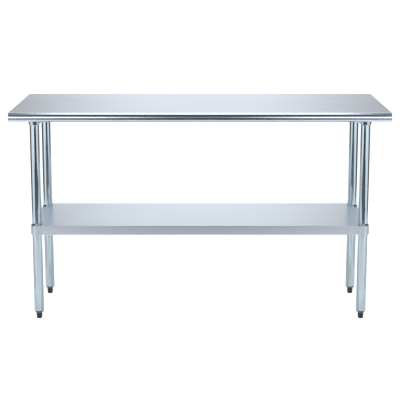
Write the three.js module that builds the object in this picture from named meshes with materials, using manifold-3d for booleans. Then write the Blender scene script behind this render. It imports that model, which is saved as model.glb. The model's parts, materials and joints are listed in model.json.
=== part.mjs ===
// Stainless steel work table with an adjustable galvanised undershelf.
// Millimetres, +Z up. The origin is on the floor under the middle of the table:
// +X runs along its length, +Y from its front edge to its rear edge.

import * as THREE from "three";
import { mergeVertices } from "three/addons/utils/BufferGeometryUtils.js";
import Module from "manifold-3d";

const wasm = await Module();
wasm.setup();

// ---------------------------------------------------------------- driving dimensions

const LENGTH = 1524; // 60 in top
const DEPTH = 610; // 24 in top
const HEIGHT = 889; // 35 in, feet screwed right in
const GAP = 0.3; // between pieces that touch
const OVERLAP = 1; // of bodies that are joined, and of a cutter past what it cuts

// Table top: one sheet, rolled at the front and rear, turned down at the ends
const TOP_SHEET = 1.2;
const ROLL_RADIUS = 19;
const ROLL_LIP = 12;
const END_LIP = 14;

// Hat channels under the top
const CHANNEL_SHEET = 1.2;
const CHANNEL_HEIGHT = 25;
const CROSS_CHANNEL = { crown: 90, flange: 20, length: 540, stud: 95 };
const LONG_CHANNEL = { crown: 60, flange: 20, length: 1210, stud: 420 };
const STUD_RADIUS = 2.5;
const STUD_LENGTH = 9;
const STUD_HOLE_RADIUS = 2.9;
const NUT = { flats: 8, height: 4 };

// Legs: tubes held in sockets at the top
const LEG_X = 675;
const LEG_Y = 173.5;
const TUBE_RADIUS = 20.65; // 1 5/8 in tube
const TUBE_WALL = 1.5;
const TUBE_BOTTOM = 35;
const SOCKET = { height: 38, bore: 21.2, roof: 4, screwDrop: 26 };
const SOCKET_LIP = { radius: 24.4, chamfer: 1.6, height: 5 };
const SOCKET_SKIRT = { radius: 25.2, drop: 24, flareRadius: 32, flareDrop: 7 };
const SOCKET_FLANGE = { radius: 44, thickness: 3 };
const BOSS = { radius: 7, reach: 33 }; // round each set screw, its reach from the leg's axis
const SET_SCREW = { radius: 3.7, hole: 4, flats: 4, socketDepth: 4 };
const SET_SCREW_CLEARANCE = 1; // from its tip to the tube
const SOCKET_SCREW_LENGTH = 12;
const CLAMP_SCREW_LENGTH = 14;

// Levelling feet
const INSERT_FOOT = 24; // underside of the plug in the tube's end
const INSERT_TOP = 67;
const INSERT_NOSE_RADIUS = 13;
const INSERT_RIM = { inset: 0.4, height: 1.6 }; // within the tube's outside, below its end
const STEM_RADIUS = 4.7;
const STEM_HOLE = 5.1;
const STEM_BOTTOM = 8;
const STEM_TOP = 64;
const FOOT_FLATS = 22.5;
const FOOT_RADIUS = 12;
const FOOT_PAD_RADIUS = 8.5;
const FOOT_CURVE = { inset: 0.9, middle: 2.4, top: 5.5 }; // of the nose, up from its pad
const FOOT_SHOULDER = 9;
const FOOT_NECK = { inset: 1.2, height: 1.5 }; // under the hexagon

// Undershelf: a pan of thinner sheet on four cast leg clamps
const SHELF_LENGTH = 1391.2;
const SHELF_DEPTH = 421.2;
const SHELF_TOP = 406;
const SHELF_SHEET = 0.9;
const SHELF_FLANGE = 38;
const SHELF_LIP = 14;
const SHELF_CHANNEL = { crown: 60, flange: 18, length: 1180 };
const SHELF_CHANNEL_HEIGHT = 22;
const FLANGE_FOOT = SHELF_SHEET - SHELF_FLANGE; // upper face of the flanges' lips
const LEG_HOLE_RADIUS = 23.6;

// Leg clamp, seen from above with the leg's axis at its origin and the table's corner at +X +Y
const CLAMP_BORE = 21.1;
const CLAMP_WALL_RADIUS = 24.3;
const CLAMP_SIDE = 23.3; // how far the clamp stands out past the leg's axis
const CLAMP_CORNER_RADIUS = 24.4;
const CLAMP_INNER = -23; // where the sheet's front flange ends
const CLAMP_TAIL = -34; // where its side flange ends
const CLAMP_STEP = { outer: -20, inner: -12 }; // where its side steps out from the leg to the flange
const CLAMP_ARM = { frontEnd: -70, sideEnd: -72, thickness: 6, drop: 2, overlap: 2 };
const CLAMP_POCKET = { left: -19, right: 5, inner: 25, wall: 3.5, roof: 4 };
const CLAMP_BOLT = { x: 14.5, y: 22, radius: 2.6, length: 16 };
const BOLT_HEAD = { radius: 4.6, height: 3.4, rim: 1.5, crown: 3.3, flats: 3, socketDepth: 1.8 };
const CLAMP_SCREW_DROP = 20; // below the shelf's top face
const CLAMP_SCREW_HEADING = -0.75 * Math.PI; // towards the middle of the shelf
const CLAMP_STEPS = 8; // round its corner
const SHEET_INSET = 4; // of the sheet's edge inside the clamp's, round the corner

// Sides of the polygons that stand for circles
const BORE_SIDES = 24; // tubes, sockets and clamps
const FOOT_SIDES = 16;
const SCREW_SIDES = 12;
const ROLL_STEPS = 12; // per half circle

const HALF_PI = Math.PI / 2;
const CORNERS = [
  { name: "front_left", x: -1, y: -1 },
  { name: "front_right", x: 1, y: -1 },
  { name: "rear_left", x: -1, y: 1 },
  { name: "rear_right", x: 1, y: 1 },
];

// ---------------------------------------------------------------- materials

function finish(color, metalness, roughness) {
  return new THREE.MeshStandardMaterial({ color, metalness, roughness });
}

const stainless = finish(0xd9dce1, 1, 0.22);
const galvanisedSheet = finish(0xb9bfc6, 1, 0.45);
const galvanisedTube = finish(0xb4c3cb, 1, 0.3);
const castAlloy = finish(0xb8bcc2, 1, 0.5);
const zincPlate = finish(0xc4c6c8, 1, 0.35);
const blackOxide = finish(0x1d1f22, 0.8, 0.45);
const greyPlastic = finish(0x5c6066, 0, 0.6);
const blackPlastic = finish(0x232426, 0, 0.5);

// ---------------------------------------------------------------- shapes and solids

// A section drawn in x and y, extruded from z = 0 to z = length.
function extruded(section, length, curveSegments = ROLL_STEPS) {
  return new THREE.ExtrudeGeometry(section, { depth: length, bevelEnabled: false, curveSegments });
}

// Turns an extrusion so that its section's x and y become Y and Z, and it runs along +X, centred.
function layAlongX(geometry, length) {
  return geometry.rotateX(HALF_PI).rotateZ(HALF_PI).translate(-length / 2, 0, 0);
}

// Turns an extrusion so that its section's x and y become X and Z, and it runs along Y, centred.
function layAlongY(geometry, length) {
  return geometry.rotateX(HALF_PI).translate(0, length / 2, 0);
}

// A turned body about Z. The profile is a list of [radius, z], counter-clockwise round its area.
function turned(profile, segments) {
  const points = profile.map(([radius, z]) => new THREE.Vector2(radius, z));
  return new THREE.LatheGeometry(points, segments).rotateX(HALF_PI);
}

function box(low, high) {
  const size = high.map((value, axis) => value - low[axis]);
  const middle = high.map((value, axis) => (value + low[axis]) / 2);
  return new THREE.BoxGeometry(...size).translate(...middle);
}

function rod(radius, low, high, segments) {
  return new THREE.CylinderGeometry(radius, radius, high - low, segments)
    .rotateX(HALF_PI)
    .translate(0, 0, (low + high) / 2);
}

// A hexagonal prism about Z, measured across its flats.
function hexPrism(flats, low, high) {
  return rod(flats / Math.sqrt(3), low, high, 6);
}

function solid(geometry) {
  const bare = new THREE.BufferGeometry();
  bare.setAttribute("position", geometry.getAttribute("position"));
  bare.setIndex(geometry.getIndex());
  const merged = mergeVertices(bare, 1e-4);
  const mesh = new wasm.Mesh({
    numProp: 3,
    vertProperties: merged.getAttribute("position").array,
    triVerts: new Uint32Array(merged.getIndex().array),
  });
  return new wasm.Manifold(mesh);
}

function geometryOf(body) {
  const mesh = body.getMesh();
  const geometry = new THREE.BufferGeometry();
  geometry.setAttribute("position", new THREE.BufferAttribute(mesh.vertProperties, 3));
  geometry.setIndex(new THREE.BufferAttribute(mesh.triVerts, 1));
  return geometry;
}

function joined(...geometries) {
  return geometries.map(solid).reduce((all, next) => all.add(next));
}

function cutFrom(body, ...geometries) {
  return geometries.map(solid).reduce((left, tool) => left.subtract(tool), body);
}

function addPiece(parent, name, geometry, material) {
  const mesh = new THREE.Mesh(geometry, material);
  mesh.name = name;
  parent.add(mesh);
  return mesh;
}

// A group on one leg's axis whose +X +Y quarter is that corner of the table, mirrored where needed.
function cornerGroup(parent, corner) {
  const group = new THREE.Group();
  group.position.set(corner.x * LEG_X, corner.y * LEG_Y, 0);
  group.scale.set(corner.x, corner.y, 1);
  parent.add(group);
  return group;
}

// ---------------------------------------------------------------- table top

const SIDES = [-1, 1];

// Where the studs that hold the channels stand, along both flanges of each channel.
function crossStuds(end) {
  const offset = (CROSS_CHANNEL.crown + CROSS_CHANNEL.flange) / 2;
  return SIDES.flatMap((flange) =>
    SIDES.map((side) => [end * LEG_X + flange * offset, side * CROSS_CHANNEL.stud]),
  );
}

function longStuds() {
  const offset = (LONG_CHANNEL.crown + LONG_CHANNEL.flange) / 2;
  return SIDES.flatMap((flange) => SIDES.map((side) => [side * LONG_CHANNEL.stud, flange * offset]));
}

const STUD_PLACES = [...crossStuds(-1), ...crossStuds(1), ...longStuds()];

// Centre of each edge roll, measured from the middle of the depth.
const ROLL_CENTRE = DEPTH / 2 - ROLL_RADIUS;
const ROLL_FOOT = -2 * ROLL_RADIUS;

// Outline of the sheet's cross-section, moved inwards by inset, its top face at y = 0.
function topOutline(inset) {
  const radius = ROLL_RADIUS - inset;
  const outline = new THREE.Shape();
  outline.moveTo(-ROLL_CENTRE, ROLL_FOOT + inset);
  outline.absarc(-ROLL_CENTRE, -ROLL_RADIUS, radius, -HALF_PI, HALF_PI, true);
  outline.lineTo(ROLL_CENTRE, -inset);
  outline.absarc(ROLL_CENTRE, -ROLL_RADIUS, radius, HALF_PI, -HALF_PI, true);
  return outline;
}

// The sheet is a shell of that outline, open below except for a lip along each edge.
function buildTop(root) {
  const hollowLength = LENGTH - 2 * TOP_SHEET;
  const outside = layAlongX(extruded(topOutline(0), LENGTH), LENGTH);
  const hollow = layAlongX(extruded(topOutline(TOP_SHEET), hollowLength), hollowLength);
  const mouthX = LENGTH / 2 - END_LIP;
  const mouthY = ROLL_CENTRE - ROLL_LIP;
  const mouth = box([-mouthX, -mouthY, ROLL_FOOT - OVERLAP], [mouthX, mouthY, -ROLL_RADIUS]);
  const studs = STUD_PLACES.map(([x, y]) =>
    solid(rod(STUD_RADIUS, -STUD_LENGTH, -TOP_SHEET / 2, SCREW_SIDES).translate(x, y, 0)),
  );
  const shell = cutFrom(solid(outside), hollow, mouth);
  const body = studs.reduce((all, stud) => all.add(stud), shell);
  addPiece(root, "tabletop_sheet", geometryOf(body), stainless).position.z = HEIGHT;
}

// ---------------------------------------------------------------- hat channels

// Section of a hat channel hung from y = 0, its crown downwards.
function hatSection(channel, height, sheet) {
  const outer = channel.crown / 2;
  const brim = outer + channel.flange;
  const inner = outer - sheet;
  const section = new THREE.Shape();
  section.moveTo(-brim, -sheet);
  section.lineTo(-outer, -sheet);
  section.lineTo(-outer, -height);
  section.lineTo(outer, -height);
  section.lineTo(outer, -sheet);
  section.lineTo(brim, -sheet);
  section.lineTo(brim, 0);
  section.lineTo(inner, 0);
  section.lineTo(inner, -height + sheet);
  section.lineTo(-inner, -height + sheet);
  section.lineTo(-inner, 0);
  section.lineTo(-brim, 0);
  return section;
}

// Height of the face that the channels hang from, and of the crown's underside.
const CHANNEL_SEAT = HEIGHT - TOP_SHEET - GAP;
const CROWN_UNDERSIDE = CHANNEL_SEAT - CHANNEL_HEIGHT;

// A channel's bar with a hole for each stud. The studs' places are the table's, the bar's its own.
function drilled(bar, places, middleX) {
  const holes = places.map(([x, y]) =>
    rod(STUD_HOLE_RADIUS, -CHANNEL_HEIGHT, CHANNEL_HEIGHT, SCREW_SIDES).translate(x - middleX, y, 0),
  );
  return geometryOf(cutFrom(solid(bar), ...holes));
}

function buildChannels(root) {
  const crossSection = hatSection(CROSS_CHANNEL, CHANNEL_HEIGHT, CHANNEL_SHEET);
  for (const [name, end] of [["left", -1], ["right", 1]]) {
    const bar = layAlongY(extruded(crossSection, CROSS_CHANNEL.length), CROSS_CHANNEL.length);
    const geometry = drilled(bar, crossStuds(end), end * LEG_X);
    const channel = addPiece(root, `cross_channel_${name}`, geometry, galvanisedSheet);
    channel.position.set(end * LEG_X, 0, CHANNEL_SEAT);
  }
  const longSection = hatSection(LONG_CHANNEL, CHANNEL_HEIGHT, CHANNEL_SHEET);
  const bar = layAlongX(extruded(longSection, LONG_CHANNEL.length), LONG_CHANNEL.length);
  const geometry = drilled(bar, longStuds(), 0);
  addPiece(root, "long_channel", geometry, galvanisedSheet).position.z = CHANNEL_SEAT;
}

function buildNuts(root) {
  const hexagon = solid(hexPrism(NUT.flats, -NUT.height, 0));
  const hole = rod(STUD_HOLE_RADIUS, -NUT.height - OVERLAP, OVERLAP, SCREW_SIDES);
  const ring = cutFrom(hexagon, hole);
  const geometry = geometryOf(ring);
  STUD_PLACES.forEach(([x, y], index) => {
    const nut = addPiece(root, `channel_nut_${index + 1}`, geometry, zincPlate);
    nut.position.set(x, y, CHANNEL_SEAT - CHANNEL_SHEET - GAP);
  });
}

// ---------------------------------------------------------------- legs, sockets and feet

// A screw without a head, its hexagon socket at the top end.
function setScrew(length) {
  const body = solid(rod(SET_SCREW.radius, 0, length, SCREW_SIDES));
  const recess = hexPrism(SET_SCREW.flats, length - SET_SCREW.socketDepth, length + OVERLAP);
  return geometryOf(cutFrom(body, recess));
}

// The socket hangs under a cross channel: flange, flared skirt, sleeve and a blind bore from below.
function socketGeometry() {
  const flared = turned(
    [
      [0, -SOCKET.roof],
      [SOCKET.bore, -SOCKET.roof],
      [SOCKET.bore, -SOCKET.height],
      [SOCKET_LIP.radius - SOCKET_LIP.chamfer, -SOCKET.height],
      [SOCKET_LIP.radius, -SOCKET.height + SOCKET_LIP.height],
      [SOCKET_SKIRT.radius, -SOCKET_SKIRT.drop],
      [SOCKET_SKIRT.flareRadius, -SOCKET_SKIRT.flareDrop],
      [SOCKET_FLANGE.radius, -SOCKET_FLANGE.thickness],
      [SOCKET_FLANGE.radius, 0],
      [0, 0],
    ],
    BORE_SIDES,
  );
  const boss = rod(BOSS.radius, -BOSS.reach, -SOCKET.bore - OVERLAP, SCREW_SIDES);
  const hole = rod(SET_SCREW.hole, -BOSS.reach - OVERLAP, 0, SCREW_SIDES);
  for (const across of [boss, hole]) {
    across.rotateY(HALF_PI).translate(0, 0, -SOCKET.screwDrop);
  }
  return geometryOf(cutFrom(joined(flared, boss), hole));
}

// The plug in a tube's end: a cone below its rim and a threaded hole for the stem.
function insertGeometry() {
  const plug = TUBE_RADIUS - TUBE_WALL - GAP;
  const rim = TUBE_RADIUS - INSERT_RIM.inset;
  return turned(
    [
      [STEM_HOLE, INSERT_FOOT],
      [INSERT_NOSE_RADIUS, INSERT_FOOT],
      [rim, TUBE_BOTTOM - INSERT_RIM.height],
      [rim, TUBE_BOTTOM - GAP],
      [plug, TUBE_BOTTOM - GAP],
      [plug, INSERT_TOP],
      [STEM_HOLE, INSERT_TOP],
      [STEM_HOLE, INSERT_FOOT],
    ],
    BORE_SIDES,
  );
}

// A bullet foot: a hexagon for the spanner above a rounded plug with a flat pad.
function footGeometry() {
  const top = INSERT_FOOT - GAP;
  const neck = FOOT_SHOULDER + FOOT_NECK.height;
  const nose = turned(
    [
      [0, 0],
      [FOOT_PAD_RADIUS, 0],
      [FOOT_RADIUS - FOOT_CURVE.inset, FOOT_CURVE.middle],
      [FOOT_RADIUS, FOOT_CURVE.top],
      [FOOT_RADIUS, FOOT_SHOULDER],
      [FOOT_RADIUS - FOOT_NECK.inset, neck],
      [0, neck],
    ],
    FOOT_SIDES,
  );
  const hexagon = hexPrism(FOOT_FLATS, FOOT_SHOULDER, top);
  const hole = rod(STEM_HOLE, STEM_BOTTOM, top + OVERLAP, FOOT_SIDES);
  return geometryOf(cutFrom(joined(nose, hexagon), hole));
}

function buildLegs(root) {
  const socketTop = CROWN_UNDERSIDE - GAP;
  const tubeTop = socketTop - SOCKET.roof - GAP;
  const bore = TUBE_RADIUS - TUBE_WALL;
  const tube = turned(
    [
      [bore, TUBE_BOTTOM],
      [TUBE_RADIUS, TUBE_BOTTOM],
      [TUBE_RADIUS, tubeTop],
      [bore, tubeTop],
      [bore, TUBE_BOTTOM],
    ],
    BORE_SIDES,
  );
  const socket = socketGeometry();
  const screw = setScrew(SOCKET_SCREW_LENGTH);
  const insert = insertGeometry();
  const stem = rod(STEM_RADIUS, STEM_BOTTOM + GAP, STEM_TOP, FOOT_SIDES);
  const foot = footGeometry();
  for (const corner of CORNERS) {
    const group = cornerGroup(root, corner);
    addPiece(group, `leg_socket_${corner.name}`, socket, galvanisedSheet).position.z = socketTop;
    const lock = addPiece(group, `socket_screw_${corner.name}`, screw, blackOxide);
    lock.rotation.y = -HALF_PI;
    lock.position.set(-TUBE_RADIUS - SET_SCREW_CLEARANCE, 0, socketTop - SOCKET.screwDrop);
    addPiece(group, `leg_tube_${corner.name}`, tube, galvanisedTube);
    addPiece(group, `foot_insert_${corner.name}`, insert, greyPlastic);
    addPiece(group, `foot_stem_${corner.name}`, stem, zincPlate);
    addPiece(group, `foot_${corner.name}`, foot, blackPlastic);
  }
}

// ---------------------------------------------------------------- undershelf

// The shelf's outer faces, measured from a leg's axis.
const SIDE_FACE = SHELF_LENGTH / 2 - LEG_X;
const FRONT_FACE = SHELF_DEPTH / 2 - LEG_Y;

// Outline of the clamp at the table's corner, moved inwards by inset.
function clampOutline(inset) {
  const radius = CLAMP_CORNER_RADIUS - inset;
  const centreX = CLAMP_SIDE - CLAMP_CORNER_RADIUS;
  const centreY = FRONT_FACE - CLAMP_CORNER_RADIUS;
  const outline = new THREE.Shape();
  outline.moveTo(CLAMP_INNER - inset, FRONT_FACE - inset);
  outline.lineTo(CLAMP_INNER - inset, 0);
  outline.lineTo(0, CLAMP_TAIL - inset);
  outline.lineTo(SIDE_FACE - inset, CLAMP_TAIL - inset);
  outline.lineTo(SIDE_FACE - inset, CLAMP_STEP.outer);
  outline.lineTo(CLAMP_SIDE - inset, CLAMP_STEP.inner);
  outline.absarc(centreX, centreY, radius, 0, HALF_PI, false);
  return outline;
}

// A cast block round the leg with two arms behind the sheet's flanges, pocketed from below.
function clampGeometry() {
  const roof = -SHELF_SHEET - GAP;
  const floor = -SHELF_FLANGE;
  const armTop = roof - CLAMP_ARM.drop;
  const armFoot = FLANGE_FOOT + GAP;
  const behindFront = FRONT_FACE - SHELF_SHEET - GAP;
  const behindSide = SIDE_FACE - SHELF_SHEET - GAP;
  const block = extruded(clampOutline(0), roof - floor, CLAMP_STEPS).translate(0, 0, floor);
  const collar = rod(CLAMP_WALL_RADIUS, floor, roof, BORE_SIDES);
  const frontArm = box(
    [CLAMP_ARM.frontEnd, behindFront - CLAMP_ARM.thickness, armFoot],
    [CLAMP_INNER + CLAMP_ARM.overlap, behindFront, armTop],
  );
  const sideArm = box(
    [behindSide - CLAMP_ARM.thickness, CLAMP_ARM.sideEnd, armFoot],
    [behindSide, CLAMP_TAIL + CLAMP_ARM.overlap, armTop],
  );
  const boss = rod(BOSS.radius, CLAMP_BORE + OVERLAP, BOSS.reach, SCREW_SIDES);
  const hole = rod(SET_SCREW.hole, 0, BOSS.reach + OVERLAP, SCREW_SIDES);
  for (const across of [boss, hole]) {
    across.rotateY(HALF_PI).rotateZ(CLAMP_SCREW_HEADING).translate(0, 0, -CLAMP_SCREW_DROP);
  }
  const pocket = box(
    [CLAMP_POCKET.left, CLAMP_POCKET.inner, floor - OVERLAP],
    [CLAMP_POCKET.right, FRONT_FACE - CLAMP_POCKET.wall, roof - CLAMP_POCKET.roof],
  );
  const body = joined(block, collar, frontArm, sideArm, boss);
  const bore = rod(CLAMP_BORE, floor - OVERLAP, OVERLAP, BORE_SIDES);
  return geometryOf(cutFrom(body, bore, hole, pocket, ...boltHoles(roof - CLAMP_BOLT.length)));
}

// Cutters for the two bolts that hold the sheet on a clamp, from that low to above the sheet.
function boltHoles(low) {
  return SIDES.map((side) =>
    rod(CLAMP_BOLT.radius + GAP, low, OVERLAP, SCREW_SIDES)
      .translate(CLAMP_BOLT.x, side * CLAMP_BOLT.y, 0),
  );
}

// Round-headed bolt with a hexagon socket, its head's underside at z = 0.
function boltGeometry() {
  const profile = [
    [0, -CLAMP_BOLT.length],
    [CLAMP_BOLT.radius, -CLAMP_BOLT.length],
    [CLAMP_BOLT.radius, 0],
    [BOLT_HEAD.radius, 0],
    [BOLT_HEAD.radius, BOLT_HEAD.rim],
    [BOLT_HEAD.crown, BOLT_HEAD.height],
    [0, BOLT_HEAD.height],
  ];
  const body = solid(turned(profile, SCREW_SIDES));
  const recessFloor = BOLT_HEAD.height - BOLT_HEAD.socketDepth;
  return geometryOf(cutFrom(body, hexPrism(BOLT_HEAD.flats, recessFloor, BOLT_HEAD.height + OVERLAP)));
}

// What is cut from the pan at one corner, in that corner's own frame: the flanges and lips where
// the clamp stands, the sheet's edge over it, and the holes for the leg and the bolts.
function cornerCuts() {
  const below = -SHELF_FLANGE - OVERLAP;
  const lipClearance = -SHELF_FLANGE / 2;
  const beyond = CLAMP_CORNER_RADIUS + SHELF_LIP;
  const front = [CLAMP_INNER - GAP, 0];
  const side = [0, CLAMP_TAIL - GAP];
  const quarter = (top) => joined(
    box([...front, below], [beyond, FRONT_FACE + OVERLAP, top]),
    box([...side, below], [beyond, OVERLAP, top]),
  );
  const kept = extruded(clampOutline(SHEET_INSET), 4 * SHELF_FLANGE, CLAMP_STEPS);
  const edges = cutFrom(quarter(OVERLAP), kept.translate(0, 0, -2 * SHELF_FLANGE));
  const legHole = rod(LEG_HOLE_RADIUS, below, OVERLAP, BORE_SIDES);
  return edges.add(quarter(lipClearance)).add(joined(legHole, ...boltHoles(below)));
}

function buildShelf(root) {
  const shelf = new THREE.Group();
  shelf.position.z = SHELF_TOP;
  root.add(shelf);
  const x = SHELF_LENGTH / 2;
  const y = SHELF_DEPTH / 2;
  const t = SHELF_SHEET;
  const shell = solid(box([-x, -y, -SHELF_FLANGE], [x, y, 0]));
  const inside = box([-x + t, -y + t, FLANGE_FOOT], [x - t, y - t, -t]);
  const mouth = box(
    [-x + SHELF_LIP, -y + SHELF_LIP, -SHELF_FLANGE - OVERLAP],
    [x - SHELF_LIP, y - SHELF_LIP, FLANGE_FOOT + OVERLAP],
  );
  let pan = cutFrom(shell, inside, mouth);
  const cuts = geometryOf(cornerCuts());
  for (const corner of CORNERS) {
    const turn = new THREE.Matrix4().makeScale(corner.x, corner.y, 1);
    turn.setPosition(corner.x * LEG_X, corner.y * LEG_Y, 0);
    pan = pan.subtract(solid(mirrored(cuts, turn)));
  }
  addPiece(shelf, "undershelf_sheet", geometryOf(pan), galvanisedSheet);
  const section = hatSection(SHELF_CHANNEL, SHELF_CHANNEL_HEIGHT, t);
  const bar = layAlongX(extruded(section, SHELF_CHANNEL.length), SHELF_CHANNEL.length);
  addPiece(shelf, "shelf_channel", bar, galvanisedSheet).position.z = -t - GAP;
  const clamp = clampGeometry();
  const bolt = boltGeometry();
  const screw = setScrew(CLAMP_SCREW_LENGTH);
  for (const corner of CORNERS) {
    const group = cornerGroup(shelf, corner);
    addPiece(group, `leg_clamp_${corner.name}`, clamp, castAlloy);
    const lock = addPiece(group, `clamp_screw_${corner.name}`, screw, blackOxide);
    const reach = (TUBE_RADIUS + SET_SCREW_CLEARANCE) * Math.SQRT1_2;
    lock.rotation.set(0, HALF_PI, CLAMP_SCREW_HEADING, "ZYX");
    lock.position.set(-reach, -reach, -CLAMP_SCREW_DROP);
    for (const [name, side] of [["outer", 1], ["inner", -1]]) {
      const held = addPiece(group, `clamp_bolt_${name}_${corner.name}`, bolt, blackOxide);
      held.position.set(CLAMP_BOLT.x, side * CLAMP_BOLT.y, GAP);
    }
  }
}

// A copy of a geometry moved by a matrix that may mirror it, its faces kept pointing out.
function mirrored(geometry, matrix) {
  const copy = geometry.clone().applyMatrix4(matrix);
  if (matrix.determinant() < 0) {
    const index = copy.getIndex().array;
    for (let corner = 0; corner < index.length; corner += 3) {
      [index[corner + 1], index[corner + 2]] = [index[corner + 2], index[corner + 1]];
    }
  }
  return copy;
}

// ---------------------------------------------------------------- the table

const table = new THREE.Group();
buildTop(table);
buildChannels(table);
buildNuts(table);
buildLegs(table);
buildShelf(table);

export default table;
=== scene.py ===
import json
import math

import bmesh
import bpy
from mathutils import Matrix, Vector


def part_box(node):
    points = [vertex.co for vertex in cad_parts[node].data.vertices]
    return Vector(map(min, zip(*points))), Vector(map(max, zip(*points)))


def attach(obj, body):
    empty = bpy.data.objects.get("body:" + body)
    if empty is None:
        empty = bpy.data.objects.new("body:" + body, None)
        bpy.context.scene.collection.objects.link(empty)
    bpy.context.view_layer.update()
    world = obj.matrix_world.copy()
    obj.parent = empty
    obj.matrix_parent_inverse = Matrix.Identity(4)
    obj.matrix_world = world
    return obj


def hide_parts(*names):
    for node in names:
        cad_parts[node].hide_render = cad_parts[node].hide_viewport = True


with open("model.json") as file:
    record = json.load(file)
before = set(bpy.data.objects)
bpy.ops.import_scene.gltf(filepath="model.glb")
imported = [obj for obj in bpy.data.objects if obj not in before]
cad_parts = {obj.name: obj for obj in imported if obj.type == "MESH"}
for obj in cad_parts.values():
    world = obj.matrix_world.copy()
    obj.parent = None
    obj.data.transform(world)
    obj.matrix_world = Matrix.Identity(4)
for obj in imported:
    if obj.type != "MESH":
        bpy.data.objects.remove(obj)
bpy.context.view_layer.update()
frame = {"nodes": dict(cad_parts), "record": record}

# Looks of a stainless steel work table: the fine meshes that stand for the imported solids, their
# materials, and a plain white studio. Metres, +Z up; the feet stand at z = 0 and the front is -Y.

# ------------------------------------------------------------------ sizes

MM = 0.001
CORNERS = {
    "front_left": (-1, -1),
    "front_right": (1, -1),
    "rear_left": (-1, 1),
    "rear_right": (1, 1),
}
BODY_OF = {
    node: body for body, nodes in frame["record"]["behaviour"]["bodies"].items() for node in nodes
}

# Points round a stud, round other small turned pieces, and round the tubes and what fits them
STUD_ROUND = 24
ROUND = 48
TUBE_ROUND = 96
# Steps of the arcs of a roll, the top's rounded ends and the shelf's notch for a leg
ROLL_STEPS = 28
EDGE_STEPS = 5
NOTCH_STEPS = 56
# Edges that turn by more than this are shaded sharp, or are bevelled
SHARP_FROM = math.radians(32)
BEVEL_FROM = math.radians(40)

top_low, top_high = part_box("tabletop_sheet")
TOP_Z = top_high.z
TOP_LENGTH = top_high.x - top_low.x
TOP_DEPTH = top_high.y - top_low.y
ROLL_RADIUS = (top_high.z - top_low.z) / 2
ROLL_CENTRE = TOP_DEPTH / 2 - ROLL_RADIUS
TOP_SHEET = 1.2 * MM
TOP_EDGE = 2.2 * MM  # rounding of the turned-down ends
TOP_FLAT = ROLL_CENTRE - 4 * MM
# The mouth is the opening under the top, inside the rolls and the ends.
MOUTH_Y = ROLL_CENTRE - 12 * MM
MOUTH_X = TOP_LENGTH / 2 - 14 * MM
CROSS_CROWN = 90 * MM
LONG_CROWN = 60 * MM

shelf_low, shelf_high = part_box("undershelf_sheet")
SHELF_Z = shelf_high.z
SHELF_SHEET = 0.9 * MM
SHELF_BEND = 2 * MM
SHELF_LIP = 14 * MM
SHELF_FLANGE = shelf_high.z - shelf_low.z

leg_low, leg_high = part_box("leg_tube_front_right")
LEG_X = (leg_low.x + leg_high.x) / 2
LEG_Y = -(leg_low.y + leg_high.y) / 2
TUBE_RADIUS = (leg_high.x - leg_low.x) / 2
TUBE_WALL = 1.5 * MM
TUBE_BOTTOM = leg_low.z
TUBE_TOP = leg_high.z
STEM_HOLE = 5.1 * MM

# The leg clamp, seen from above, from the leg's axis towards the table's corner at +X +Y
SIDE_FACE = shelf_high.x - LEG_X
FRONT_FACE = shelf_high.y - LEG_Y
CLAMP_SIDE = 23.3 * MM
CLAMP_CORNER = 24.4 * MM
CLAMP_INNER = -23 * MM
CLAMP_TAIL = -34 * MM
CLAMP_STEP = (-12 * MM, -20 * MM)  # where its side runs out to the shelf's side
CLAMP_BORE = 21.1 * MM
CLAMP_WALL = 24.3 * MM
LEG_HOLE = 23.6 * MM
SHEET_INSET = 4 * MM
JOINT_GAP = 0.3 * MM

# The set screws. Each aim takes +Z at the leg's axis to the screw's own height and direction:
# along -X in a socket, and towards the middle of the shelf in a clamp.
SCREW_RADIUS = 3.7 * MM
SCREW_HEXAGON = 4 * MM
SCREW_HOLE = 4 * MM
SCREW_START = Matrix.Translation((0, 0, TUBE_RADIUS + 1 * MM))
SOCKET_AIM = Matrix.Translation((0, 0, -26 * MM)) @ Matrix.Rotation(-math.pi / 2, 4, "Y")
CLAMP_AIM = (
    Matrix.Translation((0, 0, -20 * MM))
    @ Matrix.Rotation(-0.75 * math.pi, 4, "Z")
    @ Matrix.Rotation(math.pi / 2, 4, "Y")
)


# ------------------------------------------------------------------ mesh tools


def ring(radius, z, flats=None, steps=ROUND):
    """Points round the Z axis. With flats, they follow a hexagon that wide, cut off at radius."""
    points = []
    for k in range(steps):
        angle = math.tau * k / steps
        reach = radius
        if flats:
            off_middle = angle % (math.pi / 3) - math.pi / 6
            reach = min(radius, flats / 2 / math.cos(off_middle))
        points.append(Vector((reach * math.cos(angle), reach * math.sin(angle), z)))
    return points


def thread(radius, depth, pitch, low, high, steps=ROUND, rows=4):
    """Rings whose radius follows a right-handed screw thread."""
    rings = []
    count = max(2, round((high - low) / pitch * rows))
    for row in range(count + 1):
        z = low + (high - low) * row / count
        points = []
        for k in range(steps):
            turn = k / steps
            phase = (z / pitch - turn) % 1
            reach = radius - depth * abs(2 * phase - 1)
            points.append(
                Vector((reach * math.cos(math.tau * turn), reach * math.sin(math.tau * turn), z))
            )
        rings.append(points)
    return rings


def loft(rings, looped=False):
    """A body through rings of as many points each: capped at its ends, or joined round on itself."""
    count = len(rings[0])
    points = [point for one in rings for point in one]
    steps = [(n, n + 1) for n in range(len(rings) - 1)]
    if looped:
        steps.append((len(rings) - 1, 0))
    faces = []
    for first, second in steps:
        for k in range(count):
            after = (k + 1) % count
            faces.append(
                (first * count + k, first * count + after, second * count + after, second * count + k)
            )
    if not looped:
        faces.append(tuple(range(count)))
        faces.append(tuple(range((len(rings) - 1) * count, len(rings) * count)))
    return points, faces


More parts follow.
